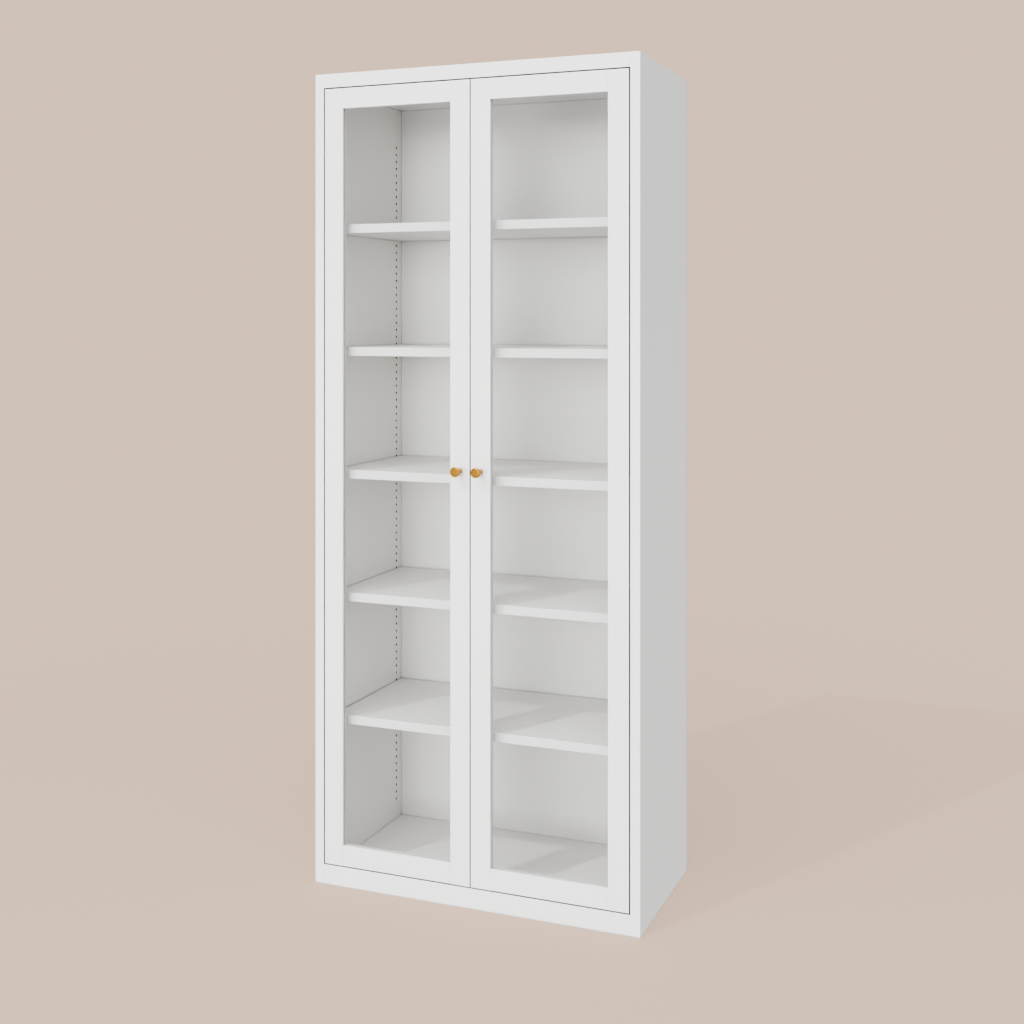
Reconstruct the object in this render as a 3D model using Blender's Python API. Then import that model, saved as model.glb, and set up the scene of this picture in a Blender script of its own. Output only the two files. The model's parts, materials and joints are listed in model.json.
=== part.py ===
"""Tall glazed bookcase: one white carcass, five adjustable shelves and a pair of inset glass doors.

X runs across the width (right is +X), Y runs from the front to the back and Z points up. The origin is on
the floor, at the middle of the whole footprint, knobs included. All sizes are in metres.
"""
import math

import bmesh
import bpy

# Overall size
HEIGHT = 2.100
WIDTH = 0.878
CARCASS_DEPTH = 0.430
BACK_THICK = 0.012
KNOB_REACH = 0.034
DEPTH = CARCASS_DEPTH + BACK_THICK
FRONT_Y = (KNOB_REACH - DEPTH) / 2

# Clearances
FIT = 0.0003            # between pieces that touch
DOOR_GAP = 0.003        # round and between the doors
OVERSHOOT = 0.002       # how far a cutter passes the surface that it cuts

# Carcass
SIDE_THICK = 0.025
LINER_THICK = 0.010
LINER_SETBACK = 0.027
TOP_THICK = 0.036
PLINTH_HEIGHT = 0.051
PLINTH_THICK = 0.022
DECK_TOP = 0.038
DECK_THICK = 0.018
BACK_INSET = 0.002

# Doors
DOOR_THICK = 0.022
FRAME_WIDTH = 0.0525
LIP_THICK = 0.010       # front of the glass rebate
REBATE = 0.008          # depth of the glass rebate into each frame member
GLASS_THICK = 0.004
GLASS_BITE = 0.007      # how far the pane reaches into the rebate
HANDLE_HEIGHT = 1.087

# Shelves and their pins
SHELF_COUNT = 5
FIRST_SHELF_TOP = 0.432
SHELF_PITCH = 0.320
SHELF_THICK = 0.023
SHELF_SETBACK = 0.041
SHELF_DEPTH = 0.385
SHELF_END_GAP = 0.0015
PIN_RADIUS = 0.00305
PIN_HOLE_RADIUS = 0.0032
PIN_HOLE_DEPTH = 0.0092
PIN_LENGTH = 0.0165
PIN_OUT = 0.0078        # how far a pin stands out of its liner
PIN_RISE = 0.005        # pin centre above the shelf's underside
PIN_EDGE = 0.0275       # pin centre from the shelf's front or rear edge
GROOVE_WIDTH = 0.0068
GROOVE_LENGTH = 0.0095

# Pivot hinges, one at the top and one at the bottom of each door
PIVOT_FROM_EDGE = 0.012
PIVOT_FROM_FRONT = 0.008
PIVOT_PIN_RADIUS = 0.0030
PIVOT_BORE_RADIUS = 0.00307
BUSH_RADIUS = 0.0050
BUSH_POCKET_RADIUS = 0.0053
BUSH_LENGTH = 0.015
PIVOT_PLATE_LENGTH = 0.046
PIVOT_PLATE_THICK = 0.0016
PIVOT_PLATE_IN_FRONT = 0.005    # of the pivot's axis
PIVOT_PLATE_BEHIND = 0.007
PIVOT_PIN_REACH = 0.014         # into the door

# Door hardware
KNOB_SCREW_RADIUS = 0.0020
KNOB_SCREW_HOLE_RADIUS = 0.0024
SCREW_HEAD_RADIUS = 0.0042
SCREW_HEAD_RIM = 0.0014
SCREW_HEAD_THICK = 0.0024
SCREW_CROWN_RADIUS = 0.0029
SCREW_IN_KNOB = 0.010
KNOB_OUTLINE = (                # radius, distance in front of the door
    (0.0060, FIT),
    (0.0060, 0.0022),
    (0.0046, 0.0040),
    (0.0046, 0.0200),
    (0.0068, 0.0244),
    (0.0112, 0.0258),
    (0.0125, 0.0270),
    (0.0125, 0.0322),
    (0.0117, 0.0334),
    (0.0102, KNOB_REACH),
)
CATCH_SIZE = (0.066, 0.015, 0.014)
CATCH_GAP = 0.0006              # to the strike plates
STRIKE_SIZE = (0.026, 0.0012, 0.011)
STRIKE_FROM_MIDDLE = 0.018
STRIKE_FROM_TOP = 0.002

ROUND_SIDES = 32
SMALL_SIDES = 12
SHARP_ANGLE = math.radians(35)
SIDES = (("left", -1), ("right", 1))

DOOR_BOTTOM = PLINTH_HEIGHT + DOOR_GAP
DOOR_TOP = HEIGHT - TOP_THICK - DOOR_GAP
OPENING_HALF = WIDTH / 2 - SIDE_THICK
DOOR_WIDTH = OPENING_HALF - 1.5 * DOOR_GAP
LINER_FACE = OPENING_HALF - LINER_THICK
PIVOT_X = OPENING_HALF - DOOR_GAP - PIVOT_FROM_EDGE
PIVOT_Y = FRONT_Y + PIVOT_FROM_FRONT
HANDLE_X = (DOOR_GAP + FRAME_WIDTH) / 2


def remove_everything():
    for item in list(bpy.data.objects):
        bpy.data.objects.remove(item)


def make_material(name, colour, roughness, metallic=0.0, transmission=0.0):
    material = bpy.data.materials.new(name)
    material.use_nodes = True
    shader = material.node_tree.nodes["Principled BSDF"]
    shader.inputs["Base Color"].default_value = (*colour, 1.0)
    shader.inputs["Roughness"].default_value = roughness
    shader.inputs["Metallic"].default_value = metallic
    shader.inputs["Transmission Weight"].default_value = transmission
    return material


def add_object(name, mesh_maker, material, place):
    """One named object, its mesh centred on its own origin and set down at place."""
    mesh = bpy.data.meshes.new(name)
    bm = bmesh.new()
    mesh_maker(bm)
    bmesh.ops.recalc_face_normals(bm, faces=bm.faces)
    bm.to_mesh(mesh)
    bm.free()
    if material:
        mesh.materials.append(material)
    item = bpy.data.objects.new(name, mesh)
    item.location = place
    bpy.context.collection.objects.link(item)
    return item


def add_block(bm, low, high):
    corners = bmesh.ops.create_cube(bm, size=1.0)["verts"]
    for corner in corners:
        for axis in range(3):
            middle = (low[axis] + high[axis]) / 2
            corner.co[axis] = middle + corner.co[axis] * (high[axis] - low[axis])


def box(name, low, high, material):
    """A rectangular board between two corners given in world coordinates."""
    middle = [(a + b) / 2 for a, b in zip(low, high)]
    half = [(b - a) / 2 for a, b in zip(low, high)]
    return add_object(name, lambda bm: add_block(bm, [-h for h in half], half), material, middle)


def add_rod(bm, axis, radius, start, end, sides, centre=(0.0, 0.0)):
    """A closed prism with many sides along X, Y or Z; centre is where it sits on the other two axes."""
    others = [i for i in range(3) if i != axis]
    rings = []
    for level in (start, end):
        ring = []
        for step in range(sides):
            angle = 2 * math.pi * (step + 0.5) / sides
            point = [0.0, 0.0, 0.0]
            point[axis] = level
            point[others[0]] = centre[0] + radius * math.cos(angle)
            point[others[1]] = centre[1] + radius * math.sin(angle)
            ring.append(bm.verts.new(point))
        rings.append(ring)
    for step in range(sides):
        after = (step + 1) % sides
        bm.faces.new((rings[0][step], rings[0][after], rings[1][after], rings[1][step]))
    bm.faces.new(rings[0])
    bm.faces.new(rings[1])


def add_turned(bm, profile, sides):
    """A solid turned about the Y axis from (radius, y) points; the first and last points lie on the axis."""
    rings = []
    for radius, level in profile[1:-1]:
        ring = []
        for step in range(sides):
            angle = 2 * math.pi * step / sides
            ring.append(bm.verts.new((radius * math.cos(angle), level, radius * math.sin(angle))))
        rings.append(ring)
    for ring, after_ring in zip(rings, rings[1:]):
        for step in range(sides):
            after = (step + 1) % sides
            bm.faces.new((ring[step], ring[after], after_ring[after], after_ring[step]))
    for ring, (_, level) in ((rings[0], profile[0]), (rings[-1], profile[-1])):
        tip = bm.verts.new((0.0, level, 0.0))
        for step in range(sides):
            bm.faces.new((ring[step], ring[(step + 1) % sides], tip))


def combine(items, name, mesh_maker, operation):
    """A Boolean between each item and one tool shape, drawn in world coordinates, that isn't part of the model."""
    tool = add_object(name, mesh_maker, None, (0, 0, 0))
    tool.hide_render = True
    tool.display_type = "WIRE"
    for item in items:
        modifier = item.modifiers.new(name, "BOOLEAN")
        modifier.operation = operation
        modifier.solver = "EXACT"
        modifier.object = tool


def smooth(item):
    item.data.shade_smooth()
    item.data.set_sharp_from_angle(angle=SHARP_ANGLE)


def hang_on(pieces, axis):
    """Parents pieces to an empty on their joint's axis, without moving them."""
    for piece in pieces:
        piece.location = [a - b for a, b in zip(piece.location, axis.location)]
        piece.parent = axis


def depth(distance):
    """World Y of a point that lies this far behind the carcass's front plane."""
    return FRONT_Y + distance


def build_carcass(paint, board):
    edge = OPENING_HALF - FIT
    rear = depth(CARCASS_DEPTH)
    for side, sign in SIDES:
        outer = sorted((sign * OPENING_HALF, sign * WIDTH / 2))
        box(f"side_panel_{side}", (outer[0], FRONT_Y, 0), (outer[1], rear, HEIGHT), paint)
    box("top_panel", (-edge, FRONT_Y, HEIGHT - TOP_THICK), (edge, rear, HEIGHT), paint)
    box("plinth_rail", (-edge, FRONT_Y, 0), (edge, depth(PLINTH_THICK), PLINTH_HEIGHT), paint)
    inset = WIDTH / 2 - BACK_INSET
    low = (-inset, rear + FIT, BACK_INSET)
    high = (inset, depth(DEPTH), HEIGHT - BACK_INSET)
    box("back_panel", low, high, board)


def build_bottom_panel(paint):
    """The bottom panel, notched at both ends to pass between the liners."""
    edge = OPENING_HALF - FIT
    rear = depth(CARCASS_DEPTH)
    low = (-edge, depth(PLINTH_THICK) + FIT, DECK_TOP - DECK_THICK)
    high = (edge, rear, DECK_TOP)
    panel = box("bottom_panel", low, high, paint)

    def notches(bm):
        for _, sign in SIDES:
            ends = sorted((sign * (LINER_FACE - FIT), sign * (edge + OVERSHOOT)))
            notch_low = (ends[0], depth(LINER_SETBACK) - FIT, low[2] - OVERSHOOT)
            notch_high = (ends[1], rear + OVERSHOOT, high[2] + OVERSHOOT)
            add_block(bm, notch_low, notch_high)

    combine([panel], "notches", notches, "DIFFERENCE")


def shelf_underside(index):
    return FIRST_SHELF_TOP + index * SHELF_PITCH - SHELF_THICK


def pin_rows():
    """Name and depth of the two rows of pins in each liner."""
    front = SHELF_SETBACK + PIN_EDGE
    rear = SHELF_SETBACK + SHELF_DEPTH - PIN_EDGE
    return (("front", front), ("rear", rear))


def build_liners(paint):
    """The inner skin of each side, bored for the shelf pins that are in use."""
    for side, sign in SIDES:
        faces = sorted((sign * LINER_FACE, sign * (OPENING_HALF - FIT)))
        low = (faces[0], depth(LINER_SETBACK), DECK_TOP - DECK_THICK)
        high = (faces[1], depth(CARCASS_DEPTH), HEIGHT - TOP_THICK - FIT)
        liner = box(f"side_liner_{side}", low, high, paint)
        ends = sorted((sign * (LINER_FACE - OVERSHOOT), sign * (LINER_FACE + PIN_HOLE_DEPTH)))

        def bores(bm):
            for index in range(SHELF_COUNT):
                level = shelf_underside(index) + PIN_RISE
                for _, distance in pin_rows():
                    add_rod(bm, 0, PIN_HOLE_RADIUS, *ends, SMALL_SIDES, (depth(distance), level))

        combine([liner], f"bores_{side}", bores, "DIFFERENCE")


def build_shelves(paint):
    """The shelves, grooved underneath at each end to sit over their pins."""
    half = LINER_FACE - SHELF_END_GAP
    front = depth(SHELF_SETBACK)
    for index in range(SHELF_COUNT):
        under = shelf_underside(index)
        low = (-half, front, under)
        high = (half, front + SHELF_DEPTH, under + SHELF_THICK)
        shelf = box(f"shelf_{index + 1}", low, high, paint)

        def grooves(bm):
            for _, sign in SIDES:
                ends = sorted((sign * (half - GROOVE_LENGTH), sign * (half + OVERSHOOT)))
                for _, distance in pin_rows():
                    middle = depth(distance)
                    groove_low = (ends[0], middle - GROOVE_WIDTH / 2, under - OVERSHOOT)
                    roof = under + PIN_RISE + PIN_RADIUS + FIT
                    add_block(bm, groove_low, (ends[1], middle + GROOVE_WIDTH / 2, roof))

        combine([shelf], f"grooves_{index + 1}", grooves, "DIFFERENCE")


def build_shelf_pins(steel):
    half = PIN_LENGTH / 2

    def rod(bm):
        add_rod(bm, 0, PIN_RADIUS, -half, half, SMALL_SIDES)

    for index in range(SHELF_COUNT):
        level = shelf_underside(index) + PIN_RISE
        for side, sign in SIDES:
            middle = sign * (LINER_FACE - PIN_OUT + half)
            for row, distance in pin_rows():
                place = (middle, depth(distance), level)
                smooth(add_object(f"shelf_pin_{index + 1}_{row}_{side}", rod, steel, place))


def build_frame(side, sign, paint):
    """Two stiles and two rails of one door, rebated at the back for the pane."""
    front, back = FRONT_Y, depth(DOOR_THICK)
    meeting = sign * DOOR_GAP / 2
    hinge = sign * (DOOR_GAP / 2 + DOOR_WIDTH)
    inner_meeting = meeting + sign * FRAME_WIDTH
    inner_hinge = hinge - sign * FRAME_WIDTH
    rail_ends = (inner_meeting + sign * FIT, inner_hinge - sign * FIT)

    def board(piece, x_ends, z_low, z_high):
        low_x, high_x = sorted(x_ends)
        name = f"door_{side}_{piece}"
        return box(name, (low_x, front, z_low), (high_x, back, z_high), paint)

    stile_meeting = board("stile_meeting", (meeting, inner_meeting), DOOR_BOTTOM, DOOR_TOP)
    stile_hinge = board("stile_hinge", (hinge, inner_hinge), DOOR_BOTTOM, DOOR_TOP)
    rail_top = board("rail_top", rail_ends, DOOR_TOP - FRAME_WIDTH, DOOR_TOP)
    rail_bottom = board("rail_bottom", rail_ends, DOOR_BOTTOM, DOOR_BOTTOM + FRAME_WIDTH)
    members = [stile_meeting, stile_hinge, rail_top, rail_bottom]

    def rebate(bm):
        ends = sorted((inner_meeting - sign * REBATE, inner_hinge + sign * REBATE))
        low = (ends[0], depth(LIP_THICK), DOOR_BOTTOM + FRAME_WIDTH - REBATE)
        high = (ends[1], back + OVERSHOOT, DOOR_TOP - FRAME_WIDTH + REBATE)
        add_block(bm, low, high)

    def pockets(bm):
        centre = (sign * PIVOT_X, PIVOT_Y)
        reach = BUSH_LENGTH + 2 * FIT
        for edge, outward in ((DOOR_TOP, 1), (DOOR_BOTTOM, -1)):
            ends = sorted((edge - outward * reach, edge + outward * OVERSHOOT))
            add_rod(bm, 2, BUSH_POCKET_RADIUS, *ends, ROUND_SIDES, centre)

    def screw_hole(bm):
        centre = (sign * HANDLE_X, HANDLE_HEIGHT)
        ends = (front - OVERSHOOT, back + OVERSHOOT)
        add_rod(bm, 1, KNOB_SCREW_HOLE_RADIUS, *ends, SMALL_SIDES, centre)

    combine(members, f"rebate_{side}", rebate, "DIFFERENCE")
    combine([stile_hinge], f"pockets_{side}", pockets, "DIFFERENCE")
    combine([stile_meeting], f"screw_hole_{side}", screw_hole, "DIFFERENCE")
    return members


def build_glazing(side, sign, glass, rubber):
    """The pane and the one-piece gasket that holds it in the rebate."""
    sight_ends = (DOOR_GAP / 2 + FRAME_WIDTH, DOOR_GAP / 2 + DOOR_WIDTH - FRAME_WIDTH)
    left, right = sorted(sign * end for end in sight_ends)
    bottom, top = DOOR_BOTTOM + FRAME_WIDTH, DOOR_TOP - FRAME_WIDTH
    pane_front = depth(LIP_THICK) + FIT
    pane_back = pane_front + GLASS_THICK
    back = depth(DOOR_THICK)

    def around_sight(piece, bite, front, rear, material):
        """A slab that reaches past the sight opening by bite all round."""
        low = (left - bite, front, bottom - bite)
        high = (right + bite, rear, top + bite)
        return box(f"door_{side}_{piece}", low, high, material)

    def window(bm):
        add_block(bm, (left, pane_front, bottom), (right, back + OVERSHOOT, top))

    pane = around_sight("glass", GLASS_BITE, pane_front, pane_back, glass)
    gasket = around_sight("gasket", REBATE - FIT, pane_back + FIT, back, rubber)
    combine([gasket], f"window_{side}", window, "DIFFERENCE")
    return [pane, gasket]


def build_handle(side, sign, brass, steel):
    """A turned knob and the screw that holds it from behind the door."""
    place = (sign * HANDLE_X, FRONT_Y, HANDLE_HEIGHT)
    bore = KNOB_SCREW_RADIUS + FIT / 2
    bore_end = -SCREW_IN_KNOB - FIT
    outline = [(radius, -reach) for radius, reach in KNOB_OUTLINE]
    profile = [(0, bore_end), (bore, bore_end), (bore, -FIT), *outline, (0, -KNOB_REACH)]
    tip = -SCREW_IN_KNOB
    seat = DOOR_THICK + FIT
    screw_profile = (
        (0, tip),
        (KNOB_SCREW_RADIUS, tip),
        (KNOB_SCREW_RADIUS, seat),
        (SCREW_HEAD_RADIUS, seat),
        (SCREW_HEAD_RADIUS, seat + SCREW_HEAD_RIM),
        (SCREW_CROWN_RADIUS, seat + SCREW_HEAD_THICK),
        (0, seat + SCREW_HEAD_THICK),
    )

    def turned_knob(bm):
        add_turned(bm, profile, ROUND_SIDES)

    def turned_screw(bm):
        add_turned(bm, screw_profile, SMALL_SIDES)

    knob = add_object(f"door_{side}_knob", turned_knob, brass, place)
    screw = add_object(f"door_{side}_knob_screw", turned_screw, steel, place)
    smooth(knob)
    smooth(screw)
    return [knob, screw]


def build_pivot_bracket(end, up, side, sign, brass):
    """A plate on the carcass with the pin that the door turns on."""
    seat = HEIGHT - TOP_THICK - FIT if up > 0 else PLINTH_HEIGHT + FIT
    door_edge = DOOR_TOP if up > 0 else DOOR_BOTTOM
    x_ends = sorted((sign * (OPENING_HALF - FIT), sign * (OPENING_HALF - PIVOT_PLATE_LENGTH)))
    z_ends = sorted((seat, seat - up * PIVOT_PLATE_THICK))
    low = (x_ends[0], PIVOT_Y - PIVOT_PLATE_IN_FRONT, z_ends[0])
    high = (x_ends[1], PIVOT_Y + PIVOT_PLATE_BEHIND, z_ends[1])
    bracket = box(f"pivot_bracket_{end}_{side}", low, high, brass)
    pin_ends = sorted((seat - up * PIVOT_PLATE_THICK / 2, door_edge - up * PIVOT_PIN_REACH))

    def pin(bm):
        add_rod(bm, 2, PIVOT_PIN_RADIUS, *pin_ends, ROUND_SIDES, (sign * PIVOT_X, PIVOT_Y))

    combine([bracket], f"pin_{end}_{side}", pin, "UNION")


def build_pivot_bush(end, up, side, sign, brass):
    """The bush in the end of the hinge stile that turns on the bracket's pin."""
    door_edge = DOOR_TOP if up > 0 else DOOR_BOTTOM
    middle = door_edge - up * (FIT + BUSH_LENGTH / 2)
    half = BUSH_LENGTH / 2

    def tube(bm):
        add_rod(bm, 2, BUSH_RADIUS, -half, half, ROUND_SIDES)

    def bore(bm):
        ends = (middle - half - OVERSHOOT, middle + half + OVERSHOOT)
        add_rod(bm, 2, PIVOT_BORE_RADIUS, *ends, ROUND_SIDES, (sign * PIVOT_X, PIVOT_Y))

    place = (sign * PIVOT_X, PIVOT_Y, middle)
    bush = add_object(f"pivot_bush_{end}_{side}", tube, brass, place)
    combine([bush], f"bush_bore_{end}_{side}", bore, "DIFFERENCE")
    return bush


def build_pivots(side, sign, brass):
    bushes = []
    for end, up in (("top", 1), ("bottom", -1)):
        build_pivot_bracket(end, up, side, sign, brass)
        bushes.append(build_pivot_bush(end, up, side, sign, brass))
    return bushes


def build_strike(side, sign, steel):
    """The plate on the back of the door that the catch holds."""
    width, thick, height = STRIKE_SIZE
    back = depth(DOOR_THICK) + FIT
    middle = sign * STRIKE_FROM_MIDDLE
    top = DOOR_TOP - STRIKE_FROM_TOP
    low = (middle - width / 2, back, top - height)
    high = (middle + width / 2, back + thick, top)
    return box(f"door_{side}_strike", low, high, steel)


def build_catch(plastic):
    width, deep, height = CATCH_SIZE
    front = depth(DOOR_THICK) + FIT + STRIKE_SIZE[1] + CATCH_GAP
    top = HEIGHT - TOP_THICK - FIT
    box("magnetic_catch", (-width / 2, front, top - height), (width / 2, front + deep, top), plastic)


def build_doors(paint, glass, rubber, brass, steel):
    for side, sign in SIDES:
        axis = bpy.data.objects.new(f"door_{side}_axis", None)
        axis.location = (sign * PIVOT_X, PIVOT_Y, DOOR_BOTTOM)
        bpy.context.collection.objects.link(axis)
        pieces = build_frame(side, sign, paint)
        pieces += build_glazing(side, sign, glass, rubber)
        pieces += build_handle(side, sign, brass, steel)
        pieces += build_pivots(side, sign, brass)
        pieces.append(build_strike(side, sign, steel))
        hang_on(pieces, axis)


def main():
    remove_everything()
    paint = make_material("white_paint", (0.86, 0.86, 0.85), 0.42)
    board = make_material("back_board", (0.80, 0.80, 0.79), 0.55)
    glass = make_material("clear_glass", (0.95, 0.97, 0.96), 0.03, transmission=1.0)
    rubber = make_material("glazing_gasket", (0.84, 0.84, 0.83), 0.60)
    brass = make_material("satin_brass", (0.66, 0.44, 0.16), 0.32, metallic=1.0)
    steel = make_material("zinc_steel", (0.62, 0.62, 0.61), 0.38, metallic=1.0)
    plastic = make_material("white_plastic", (0.80, 0.80, 0.78), 0.50)
    build_carcass(paint, board)
    build_bottom_panel(paint)
    build_liners(paint)
    build_shelves(paint)
    build_shelf_pins(steel)
    build_catch(plastic)
    build_doors(paint, glass, rubber, brass, steel)


main()
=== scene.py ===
"""The looks of the glazed bookcase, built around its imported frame.

Every piece takes its place from the CAD node that it stands for: boards with eased edges, liners bored with
full rows of pin holes, clear panes, turned knobs and small fittings, in a plain pale studio. Sizes are in
metres.
"""

import json
import math

import bmesh
import bpy
from mathutils import Matrix, Vector

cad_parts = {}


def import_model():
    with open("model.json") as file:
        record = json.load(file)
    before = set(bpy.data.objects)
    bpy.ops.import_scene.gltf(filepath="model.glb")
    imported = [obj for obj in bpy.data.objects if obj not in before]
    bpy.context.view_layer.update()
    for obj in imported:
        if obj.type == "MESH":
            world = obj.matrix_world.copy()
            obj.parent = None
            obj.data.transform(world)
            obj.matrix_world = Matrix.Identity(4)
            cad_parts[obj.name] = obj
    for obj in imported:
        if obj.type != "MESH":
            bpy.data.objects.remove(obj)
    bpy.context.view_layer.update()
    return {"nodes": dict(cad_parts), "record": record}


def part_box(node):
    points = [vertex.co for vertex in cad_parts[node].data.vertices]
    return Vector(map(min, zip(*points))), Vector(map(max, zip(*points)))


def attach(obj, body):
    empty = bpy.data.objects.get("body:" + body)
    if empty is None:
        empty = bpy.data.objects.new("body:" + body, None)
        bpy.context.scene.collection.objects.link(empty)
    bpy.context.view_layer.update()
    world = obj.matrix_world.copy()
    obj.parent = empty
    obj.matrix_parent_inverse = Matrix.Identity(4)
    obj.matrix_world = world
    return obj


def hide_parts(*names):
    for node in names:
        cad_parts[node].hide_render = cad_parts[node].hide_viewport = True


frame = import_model()
record = frame["record"]

BODY_OF = {node: body for body, nodes in record["behaviour"]["bodies"].items() for node in nodes}
SLOT_OF = {part["node"]: part["material_slot"] for part in record["subparts"]}
SIDES = (("left", -1), ("right", 1))
ENDS = (("top", 1), ("bottom", -1))
SHELVES = [node for node in sorted(frame["nodes"]) if node.removeprefix("shelf_").isdigit()]
X_AXIS, Y_AXIS, Z_AXIS = Vector((1, 0, 0)), Vector((0, 1, 0)), Vector((0, 0, 1))

# Eased edges
CASE_EDGE = 0.0011
SHELF_EDGE = 0.0010
DOOR_EDGE = 0.0009
FITTING_EDGE = 0.0003
EDGE_SEGMENTS = 3
SHORTEST_EASED = 0.004      # shorter edges belong to bores and stay sharp
TOUCH = 0.0006              # an edge this close to a neighbour is a joint and stays sharp
CUT_SPACING = 0.001         # cuts closer than this become one
WELD = 0.00001

# Rows of shelf-pin holes
HOLE_PITCH = 0.020
HOLE_ROW_LENGTH = 94
FIRST_HOLE = 0.094
HOLE_RADIUS = 0.0036
HOLE_DEPTH = 0.0092
HOLE_RIM = 0.00015
HOLE_SIDES = 20             # a multiple of four
HOLE_START = math.radians(-135)     # where a ring starts, so that it faces its cell's first corner

ROUND_SIDES = 64
FILLET_STEPS = 5
SHARP_ANGLE = math.radians(32)
FLAT_ANGLE = math.radians(1)


# ---------------------------------------------------------------- materials

# Scales of the noise patterns, in features per metre
CLOUD_SCALE = 2.6           # slow changes of tone across a sprayed board
SHEEN_SCALE = 24.0
PEEL_SCALE = 1100.0
GRAIN_SCALE = 260.0
FIBRE_SCALE = 420.0
FIBRE_SHEEN_SCALE = 60.0
GLASS_WAVE_SCALE = 1.6
GLASS_TINT_SCALE = 1.2
GLASS_FILM_SCALE = 9.0
METAL_CLOUD_SCALE = 180.0
PLATING_CLOUD_SCALE = 220.0
ROLLING_SCALE = 300.0
ROLLING_STRETCH = (1, 1, 30)
PLASTIC_CLOUD_SCALE = 40.0
PLASTIC_SHEEN_SCALE = 160.0

# Nearly all of a noise pattern's values lie between these, and colours blend between those
NOISE_LIMITS = (0.3, 0.7)
RAMP_STOPS = (0.35, 0.65)

# Roughness: how far it strays from the value given, or its range where none is
SATIN_STRAY = 0.05
TURNED_STRAY = (0.04, 0.06)     # down and up
PLATED_STRAY = (0.05, 0.08)
FIBRE_ROUGHNESS = (0.70, 0.85)
GLASS_ROUGHNESS = (0.01, 0.05)

# Heights of the bumps
WAVE_HEIGHT = 0.0002
METAL_LINE_HEIGHT = 0.00001
TURNING_STRENGTH = 0.6
PLASTIC_HEIGHT = 0.00002

GLASS_TINTS = ((0.986, 0.988, 0.987), (0.990, 0.991, 0.991))
GLASS_MIRROR = 0.04         # the share of light that one face mirrors head on
GLASS_RISE = 5.0            # how steeply that share rises towards grazing angles
# Painted shade: base colours are darkened in narrow gaps and crevices, where little light reaches
CREVICE_REACH = 0.012       # a surface with another one this near in front of it is shaded
CREVICE_OPEN = (0.18, 0.46)     # how open a place is where the shading is full, and where it ends
CREVICE_SHADE_TONE = 0.08         # of the colour that stays in the narrowest gaps
CREVICE_SAMPLES = 4


def new_material(name):
    material = bpy.data.materials.new(name)
    material.use_nodes = True
    tree = material.node_tree
    tree.nodes.clear()
    return material, tree


def add_node(tree, kind, settings=None, **inputs):
    """A shader node with its settings, and its inputs given by name as values or as sockets to link."""
    node = tree.nodes.new(kind)
    for key, value in (settings or {}).items():
        setattr(node, key, value)
    for key, value in inputs.items():
        socket = node.inputs[key.replace("_", " ")]
        if isinstance(value, bpy.types.NodeSocket):
            tree.links.new(value, socket)
        else:
            socket.default_value = value
    return node


def finish_material(tree, shader):
    output = add_node(tree, "ShaderNodeOutputMaterial")
    tree.links.new(shader, output.inputs["Surface"])


def mix_shaders(tree, share, first, second):
    """A mix of two shader nodes; share is the second one's part."""
    mix = add_node(tree, "ShaderNodeMixShader")
    tree.links.new(share, mix.inputs[0])
    tree.links.new(first.outputs[0], mix.inputs[1])
    tree.links.new(second.outputs[0], mix.inputs[2])
    return mix


def object_coordinates(tree, stretch=(1, 1, 1)):
    place = add_node(tree, "ShaderNodeTexCoord").outputs["Object"]
    return add_node(tree, "ShaderNodeMapping", Vector=place, Scale=stretch).outputs["Vector"]


def noise(tree, vector, scale, detail=4.0):
    return add_node(tree, "ShaderNodeTexNoise", Vector=vector, Scale=scale, Detail=detail).outputs["Fac"]


def spread(tree, value, low, high):
    """A noise value turned into a plain range."""
    least, most = NOISE_LIMITS
    limits = {"From_Min": least, "From_Max": most, "To_Min": low, "To_Max": high}
    return add_node(tree, "ShaderNodeMapRange", Value=value, **limits).outputs["Result"]


def blend_colours(tree, value, first, second):
    """A colour that goes from first to second as a noise value rises."""
    ramp = add_node(tree, "ShaderNodeValToRGB", Fac=value)
    stops = ramp.color_ramp.elements
    stops[0].position, stops[1].position = RAMP_STOPS
    stops[0].color, stops[1].color = (*first, 1), (*second, 1)
    return ramp.outputs["Color"]


def bump(tree, height, distance, strength=1.0):
    node = add_node(tree, "ShaderNodeBump", Height=height, Distance=distance, Strength=strength)
    return node.outputs["Normal"]


def painted_crevice_shade(tree, colour):
    """The colour, darkened inside narrow gaps as painted shade, where light hardly reaches."""
    openness = add_node(
        tree, "ShaderNodeAmbientOcclusion", {"samples": CREVICE_SAMPLES}, Distance=CREVICE_REACH
    ).outputs["AO"]
    tone = add_node(
        tree,
        "ShaderNodeMapRange",
        Value=openness,
        From_Min=CREVICE_OPEN[0],
        From_Max=CREVICE_OPEN[1],
        To_Min=CREVICE_SHADE_TONE,
    )
    toned = add_node(tree, "ShaderNodeVectorMath", {"operation": "SCALE"}, Scale=tone.outputs["Result"])
    tree.links.new(colour, toned.inputs[0])
    return toned.outputs[0]


def lacquer(name, first, second, roughness, relief=0.00004):
    """Sprayed satin lacquer: faint clouding, uneven sheen and orange peel over a soft fibre."""
    material, tree = new_material(name)
    vector = object_coordinates(tree)
    clouds = noise(tree, vector, CLOUD_SCALE)
    sheen = noise(tree, vector, SHEEN_SCALE)
    peel = noise(tree, vector, PEEL_SCALE, 2.0)
    grain = noise(tree, vector, GRAIN_SCALE, 6.0)
    height = add_node(tree, "ShaderNodeMath", {"operation": "ADD"})
    tree.links.new(peel, height.inputs[0])
    tree.links.new(grain, height.inputs[1])
    shader = add_node(
        tree,
        "ShaderNodeBsdfPrincipled",
        # base colour with painted shade in narrow gaps
        Base_Color=painted_crevice_shade(tree, blend_colours(tree, clouds, first, second)),
        Roughness=spread(tree, sheen, roughness - SATIN_STRAY, roughness + SATIN_STRAY),
        Normal=bump(tree, height.outputs[0], relief),
    )
    finish_material(tree, shader.outputs["BSDF"])
    return material


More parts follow.
